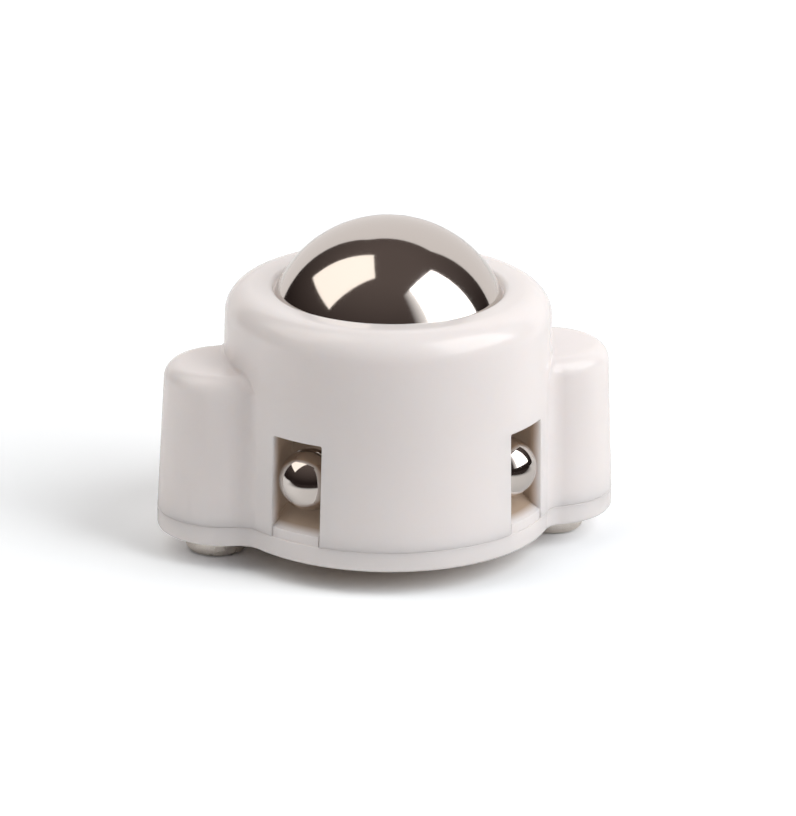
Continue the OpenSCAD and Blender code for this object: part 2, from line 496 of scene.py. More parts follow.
def carve(name: str, mesh: bpy.types.Mesh,
          tools: Sequence[tuple[Cut, bpy.types.Mesh]]) -> bpy.types.Mesh:
    """Cut tools out of a closed mesh, or add them to it, once and for all.

    Args:
        name: name of the mesh that comes out.
        mesh: the closed mesh that is carved.
        tools: what to do, with the closed mesh that does it, in order.

    Returns:
        The carved mesh.
    """
    body = place_mesh(f"{name}_blank", mesh)
    helpers = [place_mesh(f"{name}_tool_{i}", tool) for i, (_, tool) in enumerate(tools)]
    for (cut, _), helper in zip(tools, helpers):
        step = body.modifiers.new(cut.name.lower(), "BOOLEAN")
        step.operation = cut.value
        step.solver = "MANIFOLD"
        step.object = helper
    bpy.context.view_layer.update()
    graph = bpy.context.evaluated_depsgraph_get()
    carved = bpy.data.meshes.new_from_object(body.evaluated_get(graph))
    carved.name = name
    for spent in [body, *helpers]:
        data = spent.data
        bpy.data.objects.remove(spent)
        bpy.data.meshes.remove(data)
    return carved


def arc(centre: tuple[float, float], radius: float, start: float, end: float,
        steps: int) -> np.ndarray:
    """Points of a circular arc in a half section.

    A point at turn t is the centre plus the radius times (cos t, sin t).

    Args:
        centre: distance from the axis, and height.
        radius: radius of the arc.
        start: first turn, in degrees.
        end: last turn, in degrees.
        steps: how many chords the arc has.

    Returns:
        Distance from the axis and height of each point.
    """
    turns = np.radians(np.linspace(start, end, steps + 1))
    return np.stack([centre[0] + radius * np.cos(turns),
                     centre[1] + radius * np.sin(turns)], -1)


def revolve(profile: np.ndarray, angles: np.ndarray) -> np.ndarray:
    """Sweep a half section round the Z axis.

    Row i, column j lies at profile i's distance and height, turned by angle j.

    Args:
        profile: distance from the axis and height of each row.
        angles: turn of each column, in radians.

    Returns:
        Positions by row and column.
    """
    distance, height = profile[:, :1], profile[:, 1:]
    return np.stack([distance * np.cos(angles), distance * np.sin(angles),
                     np.broadcast_to(height, (len(profile), len(angles)))], -1)


def solid(name: str, rows: np.ndarray,
          last_pole: Sequence[float] | None = None) -> bpy.types.Mesh:
    """Make a mesh of one closed solid.

    Args:
        name: name of the mesh.
        rows: positions by ring and column.
        last_pole: the middle of the last fan, where it isn't the mean of its ring.

    Returns:
        The solid's mesh.
    """
    surface = Surface()
    surface.add_solid(rows, last_pole)
    return surface.mesh(name)


def sheet(name: str, corners: Sequence[Sequence[float]]) -> bpy.types.Mesh:
    """Make a flat sheet with four corners.

    A point at shares (u, v) lies between the corners, u along the lower and the upper edge
    and v from one to the other.

    Args:
        name: name of the mesh.
        corners: lower left, upper left, upper right and lower right corner, in metres.

    Returns:
        The sheet's mesh.
    """
    low_left, high_left, high_right, low_right = np.array(corners) / MM
    u, v = np.meshgrid(np.linspace(0.0, 1.0, 9), np.linspace(0.0, 1.0, 9))
    u, v = u[..., None], v[..., None]
    rows = ((1 - v) * ((1 - u) * low_left + u * low_right)
            + v * ((1 - u) * high_left + u * high_right))
    surface = Surface()
    surface.add_bands(surface.add_points(rows), loop_columns=False)
    return surface.mesh(name)


def turned_pair(name: str, profile: Sequence[Sequence[float]], distance: float, lift: float,
                columns: int) -> bpy.types.Mesh:
    """Make two turned solids, one in each ear.

    Args:
        name: name of the mesh.
        profile: half section, as distance from the solid's own axis and height.
        distance: distance of the two solids' axes from the unit's axis.
        lift: what is added to every height.
        columns: how many columns go round.

    Returns:
        One mesh with both closed solids.
    """
    angles = np.linspace(0.0, FULL_TURN, columns, endpoint=False)
    surface = Surface()
    for side in (-1.0, 1.0):
        surface.add_solid(revolve(np.array(profile), angles) + (side * distance, 0.0, lift))
    return surface.mesh(name)


# ---- The outline of cup and ears ----


@dataclass(frozen=True)
class Outline:
    """The plan of the cup and its two ears, joined by hollow corners.

    Attributes:
        ear_x: distance from the axis to the centre of an ear.
        corner_r: radius of a hollow corner.
        ear_steps: columns along half an ear.
        corner_steps: columns along a hollow corner.
        cup_steps: columns along a quarter of the cup, from the corner on.
    """

    ear_x: float
    corner_r: float
    ear_steps: int = 34
    corner_steps: int = 26
    cup_steps: int = 44

    def corner_centre(self, cup_r: np.ndarray, ear_r: np.ndarray,
                      corner_r: np.ndarray) -> tuple[np.ndarray, np.ndarray]:
        """Centre of the hollow corner that touches cup and ear.

        It is the far corner of a triangle on the line between the two centres, whose other
        sides are the cup's and the ear's radius, each with the corner's added.

        Args:
            cup_r: radius of the cup at each level.
            ear_r: radius of the ear at each level.
            corner_r: radius of the corner at each level.

        Returns:
            The centre's x and y at each level.
        """
        cup_reach, ear_reach = cup_r + corner_r, ear_r + corner_r
        x = (cup_reach ** 2 - ear_reach ** 2 + self.ear_x ** 2) / (2.0 * self.ear_x)
        return x, np.sqrt(cup_reach ** 2 - x ** 2)

    def quarter(self, cup_r: np.ndarray, ear_r: np.ndarray,
                grow: np.ndarray | float = 0.0) -> np.ndarray:
        """Points of the outline from an ear's tip to the cup's side.

        The ear's arc runs from its tip to where it touches the corner, the corner's arc on
        to where it touches the cup, and the cup's arc to the Y axis; each is divided evenly.

        Args:
            cup_r: radius of the cup at each level.
            ear_r: radius of the ear at each level.
            grow: what the corner's radius gains at each level.

        Returns:
            x and y by level and column.
        """
        cup_r, ear_r = np.reshape(cup_r, (-1, 1)), np.reshape(ear_r, (-1, 1))
        corner_r = self.corner_r + np.reshape(grow, (-1, 1)) + 0.0 * cup_r
        x, y = self.corner_centre(cup_r, ear_r, corner_r)
        ear_end = np.arctan2(y, x - self.ear_x)
        cup_start = np.arctan2(y, x)
        first, last = ear_end + math.pi, cup_start + math.pi
        along_ear = ear_end * np.linspace(0.0, 1.0, self.ear_steps, endpoint=False)
        along_corner = first + (last - first) * np.linspace(0.0, 1.0, self.corner_steps,
                                                            endpoint=False)
        along_cup = cup_start + (math.pi / 2 - cup_start) * np.linspace(
            0.0, 1.0, self.cup_steps + 1)
        return np.stack([
            np.hstack([self.ear_x + ear_r * np.cos(along_ear),
                       x + corner_r * np.cos(along_corner), cup_r * np.cos(along_cup)]),
            np.hstack([ear_r * np.sin(along_ear), y + corner_r * np.sin(along_corner),
                       cup_r * np.sin(along_cup)])], -1)


def all_round(quarter: np.ndarray) -> np.ndarray:
    """Mirror a quarter grid about both planes into columns all the way round.

    Args:
        quarter: positions by row and column, from the X axis to the Y axis.

    Returns:
        Positions by row and column, anticlockwise seen from above.
    """
    there, back = quarter[:, :-1], quarter[:, :0:-1]
    return np.concatenate([there, back * (-1.0, 1.0, 1.0), there * (-1.0, -1.0, 1.0),
                           back * (1.0, -1.0, 1.0)], 1)


def even_rows(path: np.ndarray, weight: np.ndarray, rows: int) -> np.ndarray:
    """Divide every column's path into the same number of rows.

    Each stretch of a path counts as its length times its weight; the rows lie at even
    shares of the sum. All columns are looked up in one go, each on its own stretch of one
    long rising line.

    Args:
        path: finely spaced positions by step and column.
        weight: weight of each step's stretch, by step and column, one step fewer.
        rows: how many rows come out.

    Returns:
        Positions by row and column.
    """
    lengths = np.linalg.norm(np.diff(path, axis=0), axis=-1) * weight
    reached = np.vstack([np.zeros((1, path.shape[1])), np.cumsum(lengths, 0)])
    reached /= reached[-1]
    columns = np.arange(path.shape[1])
    line = (reached + 2.0 * columns).T.ravel()
    wanted = (np.linspace(0.0, 1.0, rows)[:, None] + 2.0 * columns).T.ravel()
    picked = [np.interp(wanted, line, path[..., axis].T.ravel()) for axis in range(3)]
    return np.stack(picked, -1).reshape(path.shape[1], rows, 3).transpose(1, 0, 2)


# ---- Housing ----


@dataclass
class Housing:
    """The white moulded housing: a cup with four windows, and two closed ears.

    Heights are above the underside of the base, which lies head_h above the origin. Names
    that end in _r are radii, in _w widths and in _z heights, all in millimetres.

    Attributes:
        outline: plan of cup and ears, shared with the base.
        head_h: height of the screw heads that the unit stands on.
        base_t: thickness of the base plate, and so the height of the seam.
        body_r: the cup at the seam.
        cup_lean: lean of the cup's wall, in radians.
        rim_z: the cup's level rim.
        rim_round: radius of the big round between wall and rim.
        lip_round: radius of the lip's round at the mouth.
        mouth_r: the mouth.
        socket_r: the socket that the main ball turns in.
        ball_z: centre of the main ball.
        ear_r: an ear at the seam.
        ear_lean: lean of the ears' walls, in radians.
        ear_z: the ears' level tops.
        ear_round: radius of the round between an ear's wall and its top.
        seam_chamfer: chamfer at the seam.
        window_w: a window across.
        window_z: a window's upper edge.
        window_edge: radius of the round on a window's outer edge.
        pocket_w: a bearing ball's pocket across.
        pocket_end_r: the circle round the axis on which a pocket ends.
        screw_x: distance from the axis to a screw.
        bore_r: a screw's bore.
        bore_z: the closed end of a bore.
        ear_fillet: radius of the hollow where the cup rises from an ear's top.
        window_corner: radius of a window's upper corners.
        window_flare: how far the round on a window's edge turns, in degrees.
        wall_rows: rows from the seam to the rim's round.
        piece: the finished object.
    """

    outline: Outline
    head_h: float
    base_t: float
    body_r: float
    cup_lean: float
    rim_z: float
    rim_round: float
    lip_round: float
    mouth_r: float
    socket_r: float
    ball_z: float
    ear_r: float
    ear_lean: float
    ear_z: float
    ear_round: float
    seam_chamfer: float
    window_w: float
    window_z: float
    window_edge: float
    pocket_w: float
    pocket_end_r: float
    screw_x: float
    bore_r: float
    bore_z: float
    ear_fillet: float = 0.3
    window_corner: float = 0.1
    window_flare: float = 66.0
    wall_rows: int = 104
    piece: bpy.types.Object | None = None

    def cup_radius(self, z: np.ndarray | float) -> np.ndarray | float:
        """Radius of the drafted cup wall at a height."""
        return self.body_r - math.tan(self.cup_lean) * (z - self.base_t)

    def ear_radius(self, z: np.ndarray | float) -> np.ndarray | float:
        """Radius of the drafted ear wall at a height."""
        return self.ear_r - math.tan(self.ear_lean) * (z - self.base_t)

    def ear_top(self, inside: np.ndarray) -> np.ndarray:
        """Height of an ear's top at a distance inside its wall.

        It follows a circle that is tangent to the leaning wall and to the level top.
        """
        across = np.clip(self.ear_round * math.cos(self.ear_lean) - inside, 0.0, None)
        return self.ear_z - self.ear_round + np.sqrt(self.ear_round ** 2 - across ** 2)

    def wall_path(self) -> tuple[np.ndarray, np.ndarray]:
        """Trace every column from the seam to the rim's round, for a quarter.

        A column climbs the outer wall, crosses the ear's top towards the axis, turns up
        through a small fillet and climbs the cup's wall. Where there is no ear, the
        crossing has no length.

        Returns:
            Positions by step and column, and the weight of each stretch.
        """
        wall_steps, cross_steps, climb_steps = 40, 220, 50
        bend_weight, round_weight = 7.0, 3.0
        top = self.ear_z - self.ear_round * (1.0 - math.sin(self.ear_lean))
        levels = np.linspace(self.base_t + self.seam_chamfer, top, wall_steps)
        wall_xy = self.outline.quarter(self.cup_radius(levels), self.ear_radius(levels))
        wall = np.concatenate(
            [wall_xy, np.broadcast_to(levels[:, None, None], (*wall_xy.shape[:2], 1))], -1)

        edge = wall_xy[-1]
        reach = np.linalg.norm(edge, axis=-1)
        outward = edge / reach[:, None]
        cup_r, ear_r = self.cup_radius(top), self.ear_radius(top)
        corner_r = self.outline.corner_r
        corner = np.array([float(v) for v in self.outline.corner_centre(
            cup_r, ear_r, corner_r)])
        ear = np.array([self.outline.ear_x, 0.0])
        share = (1.0 - np.cos(np.linspace(0.0, math.pi, cross_steps))) / 2.0
        over_ear = np.arange(len(reach)) < self.outline.ear_steps + (
            self.outline.corner_steps)
        width = np.clip(np.where(over_ear, reach - self.cup_radius(self.ear_z), 0.0),
                        0.0, None)
        # The crossing ends on the leaning cup, whose radius there depends on the height
        # that the crossing arrives at; three rounds settle both.
        for _ in range(3):
            across = share[:, None] * width
            xy = edge - outward * across[..., None]
            to_corner = xy - corner
            beyond = to_corner[..., 0] * (corner - ear)[1] - to_corner[..., 1] * (
                corner - ear)[0] < 0.0
            inside = np.where(beyond, np.linalg.norm(to_corner, axis=-1) - corner_r,
                              ear_r - np.linalg.norm(xy - ear, axis=-1))
            inside = np.clip(inside, 0.0, None)
            fillet = np.minimum(self.ear_fillet, 0.8 * width) + 1e-9
            turn = np.clip((across - (width - fillet)) / fillet, 0.0, 1.0)
            height = self.ear_top(inside) + fillet * (1.0 - np.sqrt(1.0 - turn ** 2))
            height = np.where(width > 1e-6, height, top)
            width = np.clip(np.where(over_ear, reach - self.cup_radius(height[-1]), 0.0),
                            0.0, None)
        crossing = np.concatenate([xy, height[..., None]], -1)

        end = self.rim_z - self.rim_round * (1.0 - math.sin(self.cup_lean))
        share_up = np.linspace(0.0, 1.0, climb_steps)[1:, None]
        climb = height[-1] + (end - height[-1]) * share_up
        upper = np.concatenate([outward * self.cup_radius(climb)[..., None],
                                climb[..., None]], -1)
        path = np.concatenate([wall, crossing[1:], upper], 0)
        # Rows lie closer together in the fillet and on the ear's round.
        weight = np.ones(path.shape[:2])
        crossing_weight = np.where(turn > 0.0, bend_weight, np.where(
            inside < self.ear_round, round_weight, 1.0))
        weight[len(wall) - 1:len(wall) - 1 + len(share)] = crossing_weight
        return path, weight[:-1]

    def inner_profile(self) -> np.ndarray:
        """Half section from the rim's round over the lip and down the socket to the seam.

        Returns:
            Distance from the axis and height of each row.
        """
        lean = math.degrees(self.cup_lean)
        rim_x = self.cup_radius(self.rim_z - self.rim_round) - self.rim_round / math.cos(
            self.cup_lean)
        rim = arc((rim_x, self.rim_z - self.rim_round), self.rim_round, lean, 90.0,
                  steps=22)
        lip_x = self.mouth_r + self.lip_round
        flat = np.stack([np.linspace(rim_x, lip_x, 6)[1:], np.full(5, self.rim_z)], -1)
        # The lip curls in towards the ball and meets the socket from below.
        away = math.hypot(lip_x, self.rim_z - self.lip_round - self.ball_z)
        above = math.degrees(math.acos(lip_x / away))
        wrap = math.degrees(math.acos((away ** 2 + self.lip_round ** 2 - self.socket_r ** 2)
                                      / (2.0 * away * self.lip_round)))
        lip = arc((lip_x, self.rim_z - self.lip_round), self.lip_round, 90.0,
                  180.0 + above + wrap, steps=14)
        meet = math.degrees(math.asin((lip[-1, 1] - self.ball_z) / self.socket_r))
        socket = arc((0.0, self.ball_z), self.socket_r, meet, 0.0, steps=12)
        bore = np.stack([np.full(9, self.socket_r),
                         np.linspace(self.ball_z, self.base_t, 10)[1:]], -1)
        return np.vstack([rim[1:], flat, lip[1:], socket, bore])

    def blank(self) -> bpy.types.Mesh:
        """The housing without its windows: one grid, closed both ways.

        Returns:
            The closed mesh.
        """
        path, weight = self.wall_path()
        walls = even_rows(path, weight, self.wall_rows)
        foot_xy = self.outline.quarter(
            np.array([self.body_r - self.seam_chamfer]),
            np.array([self.ear_r - self.seam_chamfer]), self.seam_chamfer)
        foot = np.concatenate([foot_xy, np.full((1, foot_xy.shape[1], 1), self.base_t)], -1)
        angles = np.arctan2(walls[-1, :, 1], walls[-1, :, 0])
        inner = revolve(self.inner_profile(), angles)
        rows = all_round(np.concatenate([foot, walls, inner], 0)) + (0.0, 0.0, self.head_h)
        surface = Surface()
        surface.add_bands(surface.add_points(rows), loop_rows=True)
        return surface.mesh("housing_blank")

    def window_tool(self) -> bpy.types.Mesh:
        """What the four windows take out of the wall.

        Each tool is the window's outline swept outwards. Near the skin it widens along a
        circle, which rounds the edge of the window; the distance to the skin is worked out
        for each point of the outline.

        Returns:
            One mesh with four closed tools.
        """
        half, corner = self.window_w / 2.0, self.window_corner
        # It starts in the pocket, and runs straight on and clear once it has widened.
        start, straight, clear = self.socket_r + 0.9, 0.12, 2.0
        turns = np.radians(np.linspace(0.0, 90.0, 5))
        top = self.window_z - corner
        low = self.base_t - 1.0
        up = np.linspace(low, top, 24)[:-1]
        over = np.linspace(half - corner, corner - half, 14)[1:-1]
        y = np.concatenate([np.full(len(up), half), half - corner + corner * np.cos(turns),
                            over, corner - half - corner * np.sin(turns),
                            np.full(len(up), -half)])
        z = np.concatenate([up, top + corner * np.sin(turns),
                            np.full(len(over), self.window_z), top + corner * np.cos(turns),
                            up[::-1]])
        ny = np.concatenate([np.ones(len(up)), np.cos(turns), np.zeros(len(over)),
                             -np.sin(turns), -np.ones(len(up))])
        nz = np.concatenate([np.zeros(len(up)), np.sin(turns), np.ones(len(over)),
                             np.cos(turns), np.zeros(len(up))])
        skin = np.sqrt(self.cup_radius(z) ** 2 - y ** 2)
        bend = np.radians(np.linspace(0.0, self.window_flare, 6))[:, None]
        edge = self.window_edge
        widen = edge * (1.0 - np.cos(bend))
        out = skin - edge + edge * np.sin(bend)
        last = widen[-1] + straight * math.tan(bend[-1, 0])
        widen = np.vstack([[0.0], widen, [last], [last]])
        out = np.vstack([np.full_like(y, start), out, out[-1] + straight,
                         out[-1] + clear])
        rows = np.stack([out, y + widen * ny, z + widen * nz + self.head_h], -1)
        return self.fourfold("window_tool", rows)

    def pocket_tool(self) -> bpy.types.Mesh:
        """What the four pockets of the bearing balls take out of the wall.

        Each tool is the pocket's plan drawn upwards: two sides along the radius, and an end
        on a circle round the axis.

        Returns:
            One mesh with four closed tools.
        """
        half = self.pocket_w / 2.0
        turn = math.asin(half / self.pocket_end_r)
        ends = np.linspace(-turn, turn, 13)
        near, below = self.socket_r * 0.6, 0.9
        x = np.concatenate([[near], self.pocket_end_r * np.cos(ends), [near]])
        y = np.concatenate([[-half], self.pocket_end_r * np.sin(ends), [half]])
        heights = np.array([self.base_t - below, self.window_z]) + self.head_h
        rows = np.stack([np.broadcast_to(x, (2, len(x))), np.broadcast_to(y, (2, len(y))),
                         np.broadcast_to(heights[:, None], (2, len(x)))], -1)
        return self.fourfold("pocket_tool", rows)

    def fourfold(self, name: str, rows: np.ndarray) -> bpy.types.Mesh:
        """Close a swept grid at both ends and repeat it at the four windows.

        Args:
            name: name of the mesh.
            rows: positions by row and column.

        Returns:
            One mesh with four closed solids.
        """
        surface = Surface()
        for i in range(4):
            turn = math.radians(45.0 + 90.0 * i)
            surface.add_solid(rows @ np.array([[math.cos(turn), math.sin(turn), 0.0],
                                               [-math.sin(turn), math.cos(turn), 0.0],
                                               [0.0, 0.0, 1.0]]))
        return surface.mesh(name)

    def bore_tool(self) -> bpy.types.Mesh:
        """What the two closed screw bores take out of the ears.

        Returns:
            One mesh with two closed bores.
        """
        profile = ((self.bore_r, self.base_t - CLEAR), (self.bore_r, self.bore_z))
        return turned_pair("bore_tool", profile, self.screw_x, self.head_h, 32)

    def build(self, plastic: bpy.types.Material) -> None:
        """Carve the windows, pockets and bores, and put the housing in its place.

        Args:
            plastic: the housing's material.
        """
        mesh = carve("housing_shell", self.blank(), [
            (Cut.DIFFERENCE, self.pocket_tool()), (Cut.DIFFERENCE, self.window_tool()),
            (Cut.DIFFERENCE, self.bore_tool())])
        smooth_but_for(mesh, SHARP_PLASTIC)
        self.piece = place_mesh("housing_shell", mesh, plastic)
        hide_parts(Node.HOUSING.value)
        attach(self.piece, "unit")


# ---- Base ----


@dataclass
class Base:
    """The white base plate, with the dish, the four ramps and the window sills.

    Heights are above its underside, which lies head_h above the origin. Names that end in
    _r are radii, in _w widths and in _z heights, all in millimetres.

    Attributes:
        outline: plan of cup and ears, shared with the housing.
        head_h: height of the screw heads that the unit stands on.
        base_t: thickness of the plate.
        body_r: the plate under the cup.
        ear_r: the plate under an ear.
        low_round: radius of the round at its foot.
        seam_chamfer: chamfer at the seam.
        bore_r: the raised part between the windows, which fits into the cup's bore.
        foot_w: a ramp's foot across, where it fits into a pocket.
        foot_end_r: the circle round the axis on which a foot ends.
        sill_w: a window sill across.
        sill_r: the circle round the axis on which a sill ends.
        sill_z: the top of a sill.
        ramp_slope: how far the ramps rise for each millimetre towards the axis.
        dish_r: the spherical dish, whose centre is the main ball's.
        ball_z: centre of the main ball.
        screw_x: distance from the axis to a screw.
        hole_r: a screw's hole.
        hole_chamfer: chamfer of a hole's lower edge.
        piece: the finished object.
    """

    outline: Outline
    head_h: float
    base_t: float
    body_r: float
    ear_r: float
    low_round: float
    seam_chamfer: float
    bore_r: float
    foot_w: float
    foot_end_r: float
    sill_w: float
    sill_r: float
    sill_z: float
    ramp_slope: float
    dish_r: float
    ball_z: float
    screw_x: float
    hole_r: float
    hole_chamfer: float = 0.1
    piece: bpy.types.Object | None = None

    def ramp(self, distance: np.ndarray | float) -> np.ndarray | float:
        """Height of the ramp cone at a distance from the axis."""
        return self.sill_z + (self.sill_r - distance) * self.ramp_slope

    def rim_rows(self) -> np.ndarray:
        """Rows up the plate's edge for a quarter: rounded foot, wall and chamfered top.

        Returns:
            Positions by row and column.
        """
        turns = np.radians(np.linspace(0.0, 90.0, 7))
        inset = np.concatenate([self.low_round * (1.0 - np.sin(turns)),
                                [0.0, self.seam_chamfer]])
        heights = np.concatenate([self.low_round * (1.0 - np.cos(turns)),
                                  [self.base_t - self.seam_chamfer, self.base_t]])
        xy = self.outline.quarter(self.body_r - inset, self.ear_r - inset, inset)
        return np.concatenate(
            [xy, np.broadcast_to(heights[:, None, None], (*xy.shape[:2], 1))], -1)

    def raised_quarter(self) -> np.ndarray:
        """Outline of the raised part for a quarter: bore circle, foot and sill.

        The corners lie where the sides of the foot and of the sill, which run along the
        radius of the window, meet the circles.

        Returns:
            Corner points of the outline, anticlockwise, in the plan.
        """
        foot, sill = self.foot_w / 2.0, self.sill_w / 2.0

        def side(half: float, radius: float, sign: float) -> float:
            """Turn at which a side meets a circle, from the X axis."""
            return math.radians(45.0) + sign * math.asin(half / radius)

        def along(radius: float, start: float, end: float, steps: int) -> np.ndarray:
            """Points of a circle round the axis, both ends included."""
            turns = np.linspace(start, end, steps)
            return radius * np.stack([np.cos(turns), np.sin(turns)], -1)

        return np.vstack([
            along(self.bore_r, 0.0, side(foot, self.bore_r, -1.0), 24),
            along(self.foot_end_r, side(foot, self.foot_end_r, -1.0),
                  side(sill, self.foot_end_r, -1.0), 3),
            along(self.sill_r, side(sill, self.sill_r, -1.0), side(sill, self.sill_r, 1.0),
                  24),
            along(self.foot_end_r, side(sill, self.foot_end_r, 1.0),
                  side(foot, self.foot_end_r, 1.0), 3),
            along(self.bore_r, side(foot, self.bore_r, 1.0), math.pi / 2, 24)])

    def plate(self) -> bpy.types.Mesh:
        """The flat plate with its rounded edge: one closed mesh."""
        return solid("base_plate_blank",
                     all_round(self.rim_rows()) + (0.0, 0.0, self.head_h))

    def raised(self) -> bpy.types.Mesh:
        """The raised part: a blunt cone within its outline, with the dish in its top.

        From the outline, rows run in to the circle where cone and dish meet, at heights on
        the cone; from there they run down the dish, a part of a sphere, to the middle.

        Returns:
            The closed mesh.
        """
        corners = self.raised_quarter()
        xy = all_round(np.concatenate([corners, np.zeros((len(corners), 1))], -1)[None])[0]
        xy = xy[:, :2]
        reach = np.linalg.norm(xy, axis=-1)
        outward = xy / reach[:, None]
        distances = np.linspace(0.5 * self.dish_r, self.dish_r, 4001)
        bowl = self.ball_z - np.sqrt(self.dish_r ** 2 - np.clip(
            distances, None, self.dish_r) ** 2)
        lip = float(distances[np.argmin(np.abs(bowl - self.ramp(distances)))])
        share = np.linspace(0.0, 1.0, 12)[:, None]
        distance = reach + (lip - reach) * share
        cone = np.stack([outward[:, 0] * distance, outward[:, 1] * distance,
                         self.ramp(distance)], -1)
        angles = np.arctan2(outward[:, 1], outward[:, 0])
        slope = np.linspace(math.asin(lip / self.dish_r), 0.0, 22)[1:-1]
        dish = revolve(np.stack([self.dish_r * np.sin(slope),
                                 self.ball_z - self.dish_r * np.cos(slope)], -1), angles)
        foot = cone[:1].copy()
        foot[..., 2] = self.base_t / 2.0
        rows = np.concatenate([foot, cone, dish], 0) + (0.0, 0.0, self.head_h)
        return solid("base_raised_blank", rows,
                     (0.0, 0.0, self.head_h + self.ball_z - self.dish_r))

    def hole_tool(self) -> bpy.types.Mesh:
        """What the two screw holes take out of the plate, with a small chamfer below.

        Returns:
            One mesh with two closed tools.
        """
        chamfer, clear = self.hole_chamfer, 0.4
        profile = ((self.hole_r + chamfer + clear, -clear), (self.hole_r + chamfer, 0.0),
                   (self.hole_r, chamfer), (self.hole_r, self.base_t + CLEAR))
        return turned_pair("hole_tool", profile, self.screw_x, self.head_h, 48)

    def build(self, plastic: bpy.types.Material) -> None:
        """Join plate and raised part, drill the holes and put the base in its place.

        Args:
            plastic: the base's material.
        """
        mesh = carve("base_plate", self.plate(), [
            (Cut.UNION, self.raised()), (Cut.DIFFERENCE, self.hole_tool())])
        smooth_but_for(mesh, SHARP_PLASTIC)
        self.piece = place_mesh("base_plate", mesh, plastic)
        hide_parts(Node.BASE.value)
        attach(self.piece, "unit")


# ---- Balls ----


@dataclass
class Ball:
    """A lapped steel ball.

    Attributes:
        node: name of the CAD node that it replaces, which is also its body's.
        slot: name of a material slot; it is not used.
        facets: how many faces lie along an edge of the cube that is blown up into it.
        piece: the finished object.
    """

    node: str
    slot: str
    facets: int
    piece: bpy.types.Object | None = None

    def surface(self, centre: np.ndarray, radius: float) -> bpy.types.Mesh:
        """Blow the six grids of a cube up into a sphere.

        A grid point at turns (a, b), each from -45 to 45 degrees, lies in the direction
        (1, tan a, tan b), turned to its face of the cube; this keeps the faces even.

        Args:
            centre: middle of the ball.
            radius: radius of the ball.

        Returns:
            The closed mesh.
        """
        turns = np.tan(np.linspace(-math.pi / 4, math.pi / 4, self.facets + 1))
        a, b = np.meshgrid(turns, turns, indexing="ij")
        ones = np.ones_like(a)
        sides = [(ones, a, b), (-ones, b, a), (b, ones, a), (a, -ones, b), (a, b, ones),
                 (b, a, -ones)]
        grids = np.array([np.stack(side, -1) for side in sides])
        grids /= np.linalg.norm(grids, axis=-1, keepdims=True)
        whole, numbers = np.unique(np.round(grids.reshape(-1, 3), 9), axis=0,
                                   return_inverse=True)
        surface = Surface()
        surface.add_points(centre + radius * whole)
        for grid in numbers.reshape(6, self.facets + 1, self.facets + 1):
            surface.add_bands(grid, loop_columns=False, flip=True)
        return surface.mesh(f"{self.node}_lapped")

    def build(self, steel: bpy.types.Material) -> None:
        """Make the ball from its node's box and put it in its place.

        Args:
            steel: the ball's material.
        """
        low, high = (np.array(corner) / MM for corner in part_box(self.node))
        mesh = self.surface((low + high) / 2.0, float(np.min(high - low)) / 2.0)
        mesh.shade_smooth()
        self.piece = place_mesh(f"{self.node}_lapped", mesh, steel)
        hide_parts(self.node)
        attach(self.piece, self.node)


# ---- Screws ----


